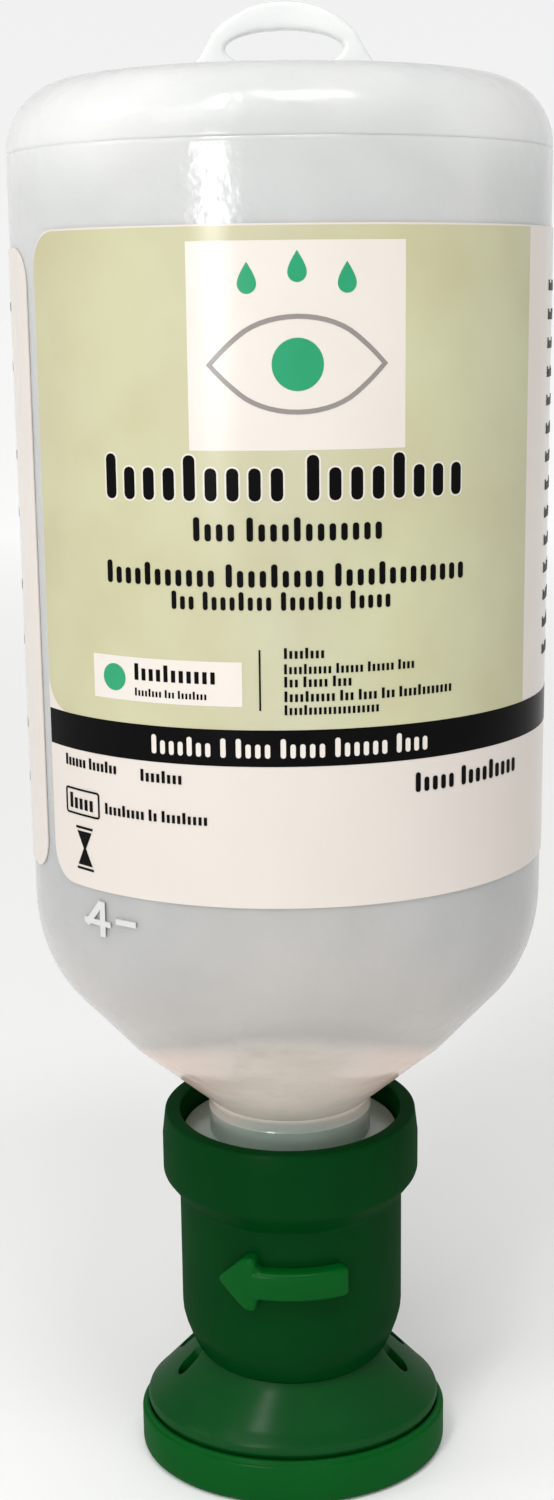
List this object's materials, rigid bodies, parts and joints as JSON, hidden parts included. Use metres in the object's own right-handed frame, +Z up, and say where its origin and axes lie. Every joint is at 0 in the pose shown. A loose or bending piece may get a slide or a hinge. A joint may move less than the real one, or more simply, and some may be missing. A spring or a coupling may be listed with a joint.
{
  "type": "eyewash station",
  "caption": "Squeeze bottle of saline eyewash standing on its flared eye cup and dust cap, with a twist-open screw sleeve and a moulded hanging loop.",
  "frame": {"origin": "centre of the dust cap's flat underside, which the object stands on", "axes": "+Z up through the inverted bottle to its hanging loop, -Y towards the front label and the arrow, +X to the viewer's right"},
  "size_m": [0.0784, 0.0704, 0.2262],
  "materials": {
    "natural_polyethylene": "satin",
    "saline": "gloss",
    "green_polypropylene": "satin",
    "green_label": "satin",
    "white_label": "satin",
    "white_polypropylene": "satin",
    "seal_elastomer": "matte"
  },
  "bodies": {
    "bottle": {"bottle_shell": "natural_polyethylene", "hanging_loop": "natural_polyethylene", "volume_mark": "natural_polyethylene", "saline_fill": "saline", "front_label": "green_label", "back_label": "white_label", "valve_insert": "white_polypropylene"},
    "seal": {"lip_seal": "seal_elastomer"},
    "closure": {"screw_sleeve": "green_polypropylene", "eye_cup": "green_polypropylene", "spray_rose": "white_polypropylene"},
    "dust_cover": {"dust_cap": "green_polypropylene", "outlet_stopper": "seal_elastomer"}
  },
  "joints": [
    {"name": "closure_travel", "type": "slide", "parent": "bottle", "child": "seal", "axis": [0, 0, -1], "range_m": [0, 0.00201]},
    {"name": "closure_twist", "type": "hinge", "parent": "seal", "child": "closure", "pos_m": [0, 0, 0.04], "axis": [0, 0, -1], "range_deg": [0, 180]},
    {"name": "dust_cap_pull", "type": "slide", "parent": "closure", "child": "dust_cover", "axis": [0, 0, -1], "range_m": [0, 0.035]}
  ],
  "couplings": [
    {"joint": "closure_travel", "follows": "closure_twist", "m_per_rad": 0.00063662}
  ]
}
